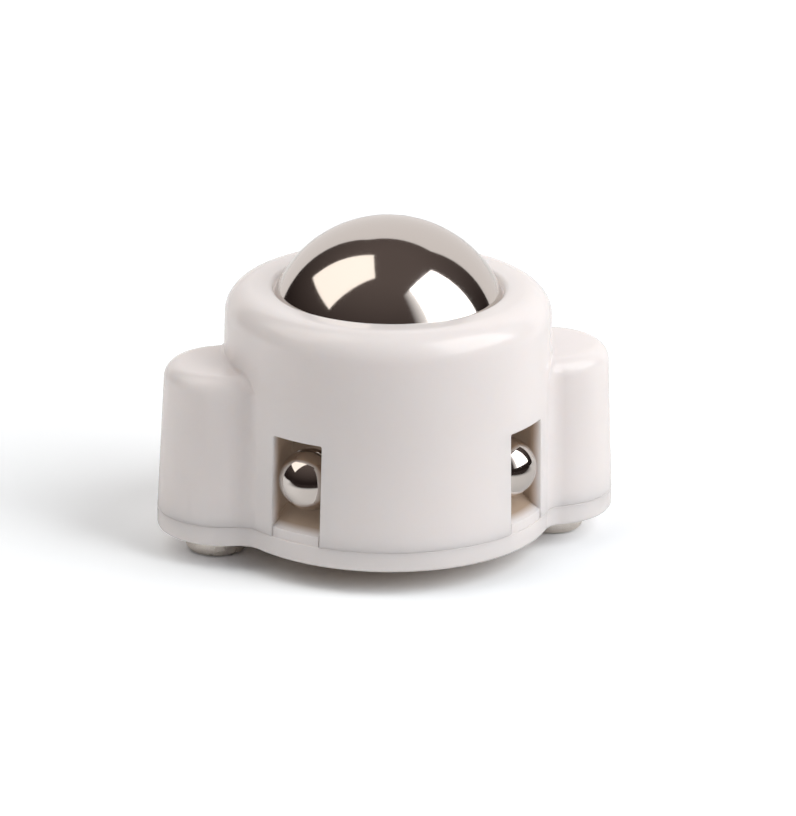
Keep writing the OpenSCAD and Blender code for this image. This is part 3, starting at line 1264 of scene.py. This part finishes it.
@dataclass
class Screw:
    """A small pan-head tapping screw, head down, with a cross recess.

    Names that end in _r are radii, in _w widths and in _h heights, all in millimetres.

    Attributes:
        node: the CAD node that it replaces.
        turn: where the screw has stopped, in degrees.
        head_r: the head.
        head_h: the head's height.
        head_round: radius of the round at the head's face.
        rim_round: radius of the round at the head's other edge.
        core_r: the shank inside its thread.
        crest_r: the thread's crest.
        pitch: what the thread climbs in a turn.
        length: length of the shank.
        point: length over which the shank thins to its point.
        recess_r: the cross at the head's face.
        recess_end_r: the cross at its bottom.
        recess_w: an arm of the cross across.
        recess_h: depth of the cross.
        piece: the finished object.
    """

    node: Node
    turn: float
    head_r: float = 2.0
    head_h: float = 1.6
    head_round: float = 0.45
    rim_round: float = 0.1
    core_r: float = 0.82
    crest_r: float = 1.08
    pitch: float = 0.8
    length: float = 9.5
    point: float = 1.4
    recess_r: float = 1.0
    recess_end_r: float = 0.35
    recess_w: float = 0.45
    recess_h: float = 1.0
    piece: bpy.types.Object | None = None

    def blank(self, x: float) -> bpy.types.Mesh:
        """The screw without its recess.

        The thread is a ridge on the core: its height is that of a wave cut off at its top
        and foot, whose crest climbs one pitch in a turn. It fades out under the head and
        at the point.

        Args:
            x: distance of the screw from the axis.

        Returns:
            The closed mesh.
        """
        angles = np.linspace(0.0, FULL_TURN, 72, endpoint=False)
        low = arc((self.head_r - self.head_round, self.head_round), self.head_round, -90.0,
                  0.0, steps=10)
        top = arc((self.head_r - self.rim_round, self.head_h - self.rim_round),
                  self.rim_round, 0.0, 90.0, steps=4)
        neck = np.array([[self.core_r + 0.15, self.head_h]])
        head = revolve(np.vstack([low, top, neck]), angles)
        heights = np.linspace(self.head_h + 0.1, self.head_h + self.length - 0.05, 150)
        fade = np.clip((heights - self.head_h - 0.3) / 0.6, 0.0, 1.0)
        left = np.clip((self.head_h + self.length - heights) / self.point, 0.0, 1.0)
        wave = np.cos(FULL_TURN * heights[:, None] / self.pitch - angles)
        ridge = np.clip(wave * 2.0 - 0.9, 0.0, 1.0) * (self.crest_r - self.core_r)
        distance = (self.core_r * left[:, None] ** 0.8 + ridge * fade[:, None]
                    * left[:, None])
        shank = np.stack([distance * np.cos(angles), distance * np.sin(angles),
                          np.broadcast_to(heights[:, None], distance.shape)], -1)
        return solid(f"{self.node.value}_blank",
                     np.concatenate([head, shank], 0) + (x, 0.0, 0.0),
                     (x, 0.0, self.head_h + self.length))

    def recess_tool(self, x: float) -> bpy.types.Mesh:
        """What the cross recess takes out of the head.

        Its plan is a cross: in each eighth of a turn the side of an arm lies half an arm's
        width off the arm's middle, cut off by a circle that shrinks with depth.

        Args:
            x: distance of the screw from the axis.

        Returns:
            The closed mesh.
        """
        depths = np.array([-CLEAR, 0.0, self.recess_h])
        ends = np.array([self.recess_r, self.recess_r, self.recess_end_r])
        half = self.recess_w / 2.0
        tip = np.arcsin(half / ends)[:, None]
        within = tip * np.linspace(0.0, 1.0, 4)
        beyond = tip + (math.pi / 4 - tip) * np.linspace(0.0, 1.0, 7)[1:]
        eighth = np.hstack([within, beyond])
        reach = np.hstack([np.broadcast_to(ends[:, None], within.shape),
                           half / np.sin(beyond)])
        quarter_turns = np.hstack([eighth, math.pi / 2 - eighth[:, -2:0:-1]])
        quarter_reach = np.hstack([reach, reach[:, -2:0:-1]])
        turns = np.hstack([quarter_turns + i * math.pi / 2 for i in range(4)])
        turns += math.radians(self.turn)
        reaches = np.tile(quarter_reach, 4)
        rows = np.stack([x + reaches * np.cos(turns), reaches * np.sin(turns),
                         np.broadcast_to(depths[:, None], turns.shape)], -1)
        return solid(f"{self.node.value}_recess", rows)

    def build(self, steel: bpy.types.Material) -> None:
        """Punch the recess and put the screw where its node is.

        Args:
            steel: the screw's material.
        """
        low, high = (np.array(corner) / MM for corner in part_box(self.node.value))
        x = float(low[0] + high[0]) / 2.0
        mesh = carve(f"{self.node.value}_plated", self.blank(x),
                     [(Cut.DIFFERENCE, self.recess_tool(x))])
        smooth_but_for(mesh, SHARP_STEEL)
        self.piece = place_mesh(f"{self.node.value}_plated", mesh, steel)
        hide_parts(self.node.value)
        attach(self.piece, "unit")


# ---- Studio ----


@dataclass(frozen=True)
class Softbox:
    """A flat soft lamp, set by the middles of its lower and upper edges.

    Attributes:
        name: name of the lamp.
        low: middle of the lower edge, in metres.
        high: middle of the upper edge, in metres.
        width: length of those edges, in metres.
        along: rough direction of the lower edge.
        power: power in watts.
        colour: sRGB colour of the light.
        mirrored: whether gloss shows the lamp, or only its light.
    """

    name: str
    low: tuple[float, float, float]
    high: tuple[float, float, float]
    width: float
    along: tuple[float, float, float]
    power: float
    colour: str
    mirrored: bool = True

    def build(self) -> None:
        """Hang the lamp so that its face looks at the unit."""
        low, high = Vector(self.low), Vector(self.high)
        upward = (high - low).normalized()
        away = Vector(self.along).cross(upward).normalized()
        middle = (low + high) / 2.0
        if away.dot(middle) < 0.0:
            away.negate()
        across = upward.cross(away)
        lamp = bpy.data.lights.new(self.name, "AREA")
        lamp.shape = "RECTANGLE"
        lamp.size = self.width
        lamp.size_y = (high - low).length
        lamp.energy = self.power
        lamp.color = linear(self.colour)[:3]
        hung = bpy.data.objects.new(self.name, lamp)
        hung.matrix_world = Matrix((
            (across.x, upward.x, away.x, middle.x), (across.y, upward.y, away.y, middle.y),
            (across.z, upward.z, away.z, middle.z), (0.0, 0.0, 0.0, 1.0)))
        hung.visible_glossy = self.mirrored
        bpy.context.scene.collection.objects.link(hung)

    def veil(self, reach: float, strength: float) -> bpy.types.Object:
        """Hang a faint veil at the lamp's front end, where light spills along its cloth.

        The veil is a flat sheet as high as the lamp. Its light fades evenly with the
        distance from the lamp's end.

        Args:
            reach: how far the veil goes on from the lamp, in metres.
            strength: how bright it is at the lamp.

        Returns:
            The veil's object.
        """
        low, high = np.array(self.low), np.array(self.high)
        upward = (high - low) / np.linalg.norm(high - low)
        onward = -np.array(self.along)
        onward -= (onward @ upward) * upward
        onward /= np.linalg.norm(onward)
        low_end, high_end = (edge + onward * self.width / 2.0 for edge in (low, high))
        far = reach * onward
        mesh = sheet(self.name + "_veil", (low_end, high_end, high_end + far, low_end + far))
        made = blank_material("lamp_spill")
        tree = made.node_tree
        place = add_node(tree, "ShaderNodeTexCoord")
        off = add_node(tree, "ShaderNodeVectorMath", {"operation": "SUBTRACT"}, {
            0: place.outputs["Object"], 1: tuple(low_end)})
        along = add_node(tree, "ShaderNodeVectorMath", {"operation": "DOT_PRODUCT"}, {
            0: off.outputs["Vector"], 1: tuple(onward)})
        fading = add_node(tree, "ShaderNodeMapRange", inputs={
            "Value": along.outputs["Value"], "From Min": 0.0, "From Max": reach,
            "To Min": strength, "To Max": 0.0})
        glow = add_node(tree, "ShaderNodeEmission", inputs={
            "Color": linear(self.colour), "Strength": fading.outputs["Result"]})
        clear = add_node(tree, "ShaderNodeBsdfTransparent")
        both = add_node(tree, "ShaderNodeAddShader", inputs={
            0: glow.outputs["Emission"], 1: clear.outputs["BSDF"]})
        add_node(tree, "ShaderNodeOutputMaterial", inputs={"Surface": both.outputs["Shader"]})
        return place_mesh(self.name + "_veil", mesh, made)


@dataclass(frozen=True)
class Studio:
    """White paper, a lit card behind the unit, soft lamps, a dim room and the camera.

    Attributes:
        elevation: how high the camera stands, in degrees.
        azimuth: how far round from the front it stands, in degrees.
        roll: how far it is tipped to the side, in degrees.
        distance: how far it is from what it aims at, in metres.
        aim_z: height that it aims at, in metres.
        lens: focal length for a film 36 mm wide, in millimetres.
        shift: how far the film is moved across and up, in film widths.
        floor_r: radius of the paper, in metres.
        floor_z: height of the paper, in millimetres.
        paper_colour: sRGB colour of the paper, for light and for reflections.
        paper_white: linear colour that the camera sees, so that only shadows keep a tone.
        near_paper: how far in front of the unit gloss mirrors the paper, in metres.
        table_colour: sRGB colour of the table that gloss mirrors beyond it.
        card: the card's lower left, upper left, upper right and lower right corner, in
            metres.
        card_colour: sRGB colour that gloss mirrors in the card.
        card_strength: how bright that is.
        room_colours: sRGB colours that gloss mirrors low in the room and overhead.
        room_rise: between which heights of a direction the one turns into the other; a
            direction's height is the sine of its elevation.
        room_light: sRGB colour of the light that the room sheds on matt surfaces.
        spill: how far the key lamp's veil reaches, in metres, and how bright it starts.
        softboxes: the lamps, the key lamp first.
    """

    elevation: float = 19.70646
    azimuth: float = -12.60440
    roll: float = 0.78252
    distance: float = 0.331124
    aim_z: float = 0.0086
    lens: float = 233.38
    shift: tuple[float, float] = (0.01374, 0.00327)
    floor_r: float = 1.2
    floor_z: float = -0.005
    paper_colour: str = "#f3f3f3"
    paper_white: tuple[float, float, float] = (1.17, 1.205, 1.235)
    near_paper: float = 0.03
    table_colour: str = "#3a3230"
    card: tuple[tuple[float, float, float], ...] = (
        (-0.36, 0.44, 0.0), (-0.05, 0.44, 0.60), (0.62, 0.44, 0.95), (1.40, 0.44, 0.0))
    card_colour: str = "#fbf6f4"
    card_strength: float = 0.93
    room_colours: tuple[str, str] = ("#2c2422", "#665b57")
    room_rise: tuple[float, float] = (0.15, 0.95)
    room_light: str = "#4a4a4b"
    spill: tuple[float, float] = (0.17, 1.2)
    softboxes: tuple[Softbox, ...] = (
        Softbox("key_softbox", low=(0.473, -0.255, 0.14), high=(0.391, -0.230, 0.923),
                width=0.5625, along=(0.6283, 0.7768, 0.0427), power=4.6, colour="#ffffff"),
        Softbox("fill_softbox", low=(-0.433, 0.117, 0.305), high=(-0.158, 0.036, 0.85),
                width=0.39, along=(0.206, 0.978, -0.03), power=1.14, colour="#fff8ef"),
        Softbox("side_softbox", low=(-0.60, -0.20, 0.25), high=(-0.40, -0.15, 0.80),
                width=0.60, along=(0.3, 0.95, 0.0), power=0.56, colour="#ffffff",
                mirrored=False),
        Softbox("top_softbox", low=(0.0, -0.35, 0.85), high=(0.0, 0.35, 0.85), width=0.70,
                along=(1.0, 0.0, 0.0), power=1.12, colour="#ffffff", mirrored=False))

    def floor(self) -> bpy.types.Object:
        """Lay the paper that the unit stands on.

        It is a wide disc whose rings grow evenly in area from the middle.

        Returns:
            The paper's object.
        """
        angles = np.linspace(0.0, FULL_TURN, 64, endpoint=False)
        rings = np.sqrt(np.linspace(0.02, 1.0, 8)) * self.floor_r / MM
        rows = revolve(np.stack([rings, np.full_like(rings, self.floor_z)], -1), angles)
        surface = Surface()
        numbers = surface.add_points(rows)
        surface.add_bands(numbers, flip=True)
        surface.add_fan(numbers[0], (0.0, 0.0, self.floor_z))
        return place_mesh("paper", surface.mesh("paper"), self.paper())

    def lit_card(self) -> bpy.types.Object:
        """Stand a large lit card behind the unit, which the ball mirrors round its crown.

        Returns:
            The card's object.
        """
        made = blank_material("lit_white_card")
        # The camera sees it as white as the room behind it.
        path = add_node(made.node_tree, "ShaderNodeLightPath")
        tone = add_node(made.node_tree, "ShaderNodeMix", {"data_type": "RGBA"}, {
            "Factor": path.outputs["Is Camera Ray"], "A": linear(self.card_colour),
            "B": linear("#ffffff")})
        strength = add_node(made.node_tree, "ShaderNodeMapRange", inputs={
            "Value": path.outputs["Is Camera Ray"], "To Min": self.card_strength,
            "To Max": 1.0})
        glow = add_node(made.node_tree, "ShaderNodeEmission", inputs={
            "Color": tone.outputs["Result"], "Strength": strength.outputs["Result"]})
        add_node(made.node_tree, "ShaderNodeOutputMaterial",
                 inputs={"Surface": glow.outputs["Emission"]})
        return place_mesh("lit_card", sheet("lit_card", self.card), made)

    def paper(self) -> bpy.types.Material:
        """White studio paper that takes shadows and looks a little over white.

        Returns:
            The paper's material.
        """
        made = blank_material("white_studio_paper")
        tree = made.node_tree
        path = add_node(tree, "ShaderNodeLightPath")
        tone = add_node(tree, "ShaderNodeMix", {"data_type": "RGBA"}, {
            "Factor": path.outputs["Is Camera Ray"], "A": linear(self.paper_colour),
            "B": (*self.paper_white, 1.0)})
        matte = add_node(tree, "ShaderNodeBsdfDiffuse", inputs={
            "Color": tone.outputs["Result"], "Roughness": 0.6})
        # In front of the unit gloss mirrors a dark table from a little way off, and
        # behind it all the paper.
        place = add_node(tree, "ShaderNodeTexCoord")
        distance = add_node(tree, "ShaderNodeVectorMath", {"operation": "LENGTH"}, {
            0: place.outputs["Object"]})
        beyond = add_node(tree, "ShaderNodeMapRange", inputs={
            "Value": distance.outputs["Value"], "From Min": self.near_paper,
            "From Max": self.near_paper * 1.5})
        axes = add_node(tree, "ShaderNodeSeparateXYZ", inputs={
            "Vector": place.outputs["Object"]})
        front = add_node(tree, "ShaderNodeMapRange", inputs={
            "Value": axes.outputs["Y"], "From Min": 0.0, "From Max": -self.near_paper,
            "To Min": 0.0, "To Max": 1.0})
        ahead = add_node(tree, "ShaderNodeMath", {"operation": "MULTIPLY"}, {
            0: beyond.outputs["Result"], 1: front.outputs["Result"]})
        mirrored = add_node(tree, "ShaderNodeMath", {"operation": "MULTIPLY"}, {
            0: ahead.outputs["Value"], 1: path.outputs["Is Glossy Ray"]})
        table = add_node(tree, "ShaderNodeBsdfDiffuse", inputs={
            "Color": linear(self.table_colour)})
        both = add_node(tree, "ShaderNodeMixShader", inputs={
            0: mirrored.outputs["Value"], 1: matte.outputs["BSDF"],
            2: table.outputs["BSDF"]})
        # Looked at from below, the paper is clear, so that the unit's underside shows.
        side = add_node(tree, "ShaderNodeNewGeometry")
        under = add_node(tree, "ShaderNodeMath", {"operation": "MULTIPLY"}, {
            0: side.outputs["Backfacing"], 1: path.outputs["Is Camera Ray"]})
        clear = add_node(tree, "ShaderNodeBsdfTransparent")
        sheet = add_node(tree, "ShaderNodeMixShader", inputs={
            0: under.outputs["Value"], 1: both.outputs["Shader"],
            2: clear.outputs["BSDF"]})
        add_node(tree, "ShaderNodeOutputMaterial",
                 inputs={"Surface": sheet.outputs["Shader"]})
        return made

    def room(self) -> None:
        """Make the room a warm dark grey, lighter overhead; the camera sees it white."""
        world = bpy.data.worlds.new("dim_room")
        bpy.context.scene.world = world
        world.use_nodes = True
        tree = world.node_tree
        tree.nodes.clear()
        sky = add_node(tree, "ShaderNodeTexCoord")
        height = add_node(tree, "ShaderNodeSeparateXYZ", inputs={
            "Vector": sky.outputs["Generated"]})
        rise = add_node(tree, "ShaderNodeMapRange", inputs={
            "Value": height.outputs["Z"], "From Min": self.room_rise[0],
            "From Max": self.room_rise[1]})
        # The steel between the lamps' reflections takes these tones.
        tone = add_node(tree, "ShaderNodeMix", {"data_type": "RGBA"}, {
            "Factor": rise.outputs["Result"], "A": linear(self.room_colours[0]),
            "B": linear(self.room_colours[1])})
        path = add_node(tree, "ShaderNodeLightPath")
        # Matt surfaces get an even light without that warmth, so that shadows stay grey.
        lit = add_node(tree, "ShaderNodeMix", {"data_type": "RGBA"}, {
            "Factor": path.outputs["Is Diffuse Ray"], "A": tone.outputs["Result"],
            "B": linear(self.room_light)})
        seen = add_node(tree, "ShaderNodeMix", {"data_type": "RGBA"}, {
            "Factor": path.outputs["Is Camera Ray"], "A": lit.outputs["Result"],
            "B": linear("#ffffff")})
        room = add_node(tree, "ShaderNodeBackground", inputs={
            "Color": seen.outputs["Result"], "Strength": 1.0})
        add_node(tree, "ShaderNodeOutputWorld", inputs={"Surface": room.outputs["Background"]})

    def camera(self) -> None:
        """Set the camera a third of a metre away, slightly left of front and above."""
        up_turn, side_turn = math.radians(self.elevation), math.radians(self.azimuth)
        back = Vector((math.sin(side_turn) * math.cos(up_turn),
                       -math.cos(side_turn) * math.cos(up_turn), math.sin(up_turn)))
        right = (-back).cross(Vector((0.0, 0.0, 1.0))).normalized()
        up = right.cross(-back)
        tilt = math.radians(self.roll)
        level = right * math.cos(tilt) + up * math.sin(tilt)
        above = up * math.cos(tilt) - right * math.sin(tilt)
        place = Vector((0.0, 0.0, self.aim_z)) + back * self.distance
        data = bpy.data.cameras.new("camera")
        data.sensor_width, data.sensor_fit = 36.0, "HORIZONTAL"
        data.lens = self.lens
        data.shift_x, data.shift_y = self.shift
        data.clip_start, data.clip_end = 0.01, 10.0
        made = bpy.data.objects.new("camera", data)
        made.matrix_world = Matrix((
            (level.x, above.x, back.x, place.x), (level.y, above.y, back.y, place.y),
            (level.z, above.z, back.z, place.z), (0.0, 0.0, 0.0, 1.0)))
        bpy.context.scene.collection.objects.link(made)
        bpy.context.scene.camera = made

    def build(self) -> None:
        """Set up paper, lamps, room, camera and plain view settings."""
        self.floor()
        self.lit_card()
        for softbox in self.softboxes:
            softbox.build()
        self.softboxes[0].veil(*self.spill)
        self.room()
        self.camera()
        bpy.context.scene.view_settings.view_transform = "Standard"


def main() -> None:
    """Build the unit piece by piece, then the studio."""
    logging.basicConfig(level=logging.INFO, format="%(name)s: %(message)s")
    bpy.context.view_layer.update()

    plastic = MouldedAcetal().material()
    ball_steel = LappedSteel().material()
    screw_steel = PlatedSteel().material()
    outline = Outline(ear_x=10.55, corner_r=1.6)

    housing = Housing(
        outline=outline, head_h=1.6, base_t=1.35, body_r=10.75,
        cup_lean=math.radians(1.5), rim_z=15.45, rim_round=1.8, lip_round=0.35,
        mouth_r=7.33, socket_r=8.0875, ball_z=11.9, ear_r=4.35,
        ear_lean=math.radians(2.8), ear_z=11.05, ear_round=1.1, seam_chamfer=0.04,
        window_w=3.55, window_z=8.0, window_edge=0.12, pocket_w=4.169,
        pocket_end_r=9.8953, screw_x=11.1, bore_r=1.14, bore_z=9.85)
    housing.build(plastic)
    log.info("housing: %d faces", len(housing.piece.data.polygons))

    base = Base(
        outline=outline, head_h=1.6, base_t=1.35, body_r=10.75, ear_r=4.35, low_round=0.3,
        seam_chamfer=0.04, bore_r=8.0075, foot_w=4.009, foot_end_r=9.8153, sill_w=3.39,
        sill_r=10.67, sill_z=2.0, ramp_slope=math.tan(math.radians(25.0)), dish_r=7.9675,
        ball_z=11.9, screw_x=11.1, hole_r=1.25)
    base.build(plastic)
    log.info("base: %d faces", len(base.piece.data.polygons))

    main_ball = Ball(Node.MAIN_BALL.value, "ball_steel", facets=72)
    main_ball.build(ball_steel)
    log.info("main ball: %d faces", len(main_ball.piece.data.polygons))

    for number in range(1, 5):
        bearing = Ball(f"bearing_ball_{number}", "bearing_steel", facets=40)
        bearing.build(ball_steel)
        log.info("bearing ball %d: %d faces", number, len(bearing.piece.data.polygons))

    for node, turn in ((Node.SCREW_LEFT, 15.0), (Node.SCREW_RIGHT, 60.0)):
        screw = Screw(node, turn)
        screw.build(screw_steel)
        log.info("%s: %d faces", node.value, len(screw.piece.data.polygons))

    Studio().build()
    log.info("studio")


if __name__ == "__main__":
    main()
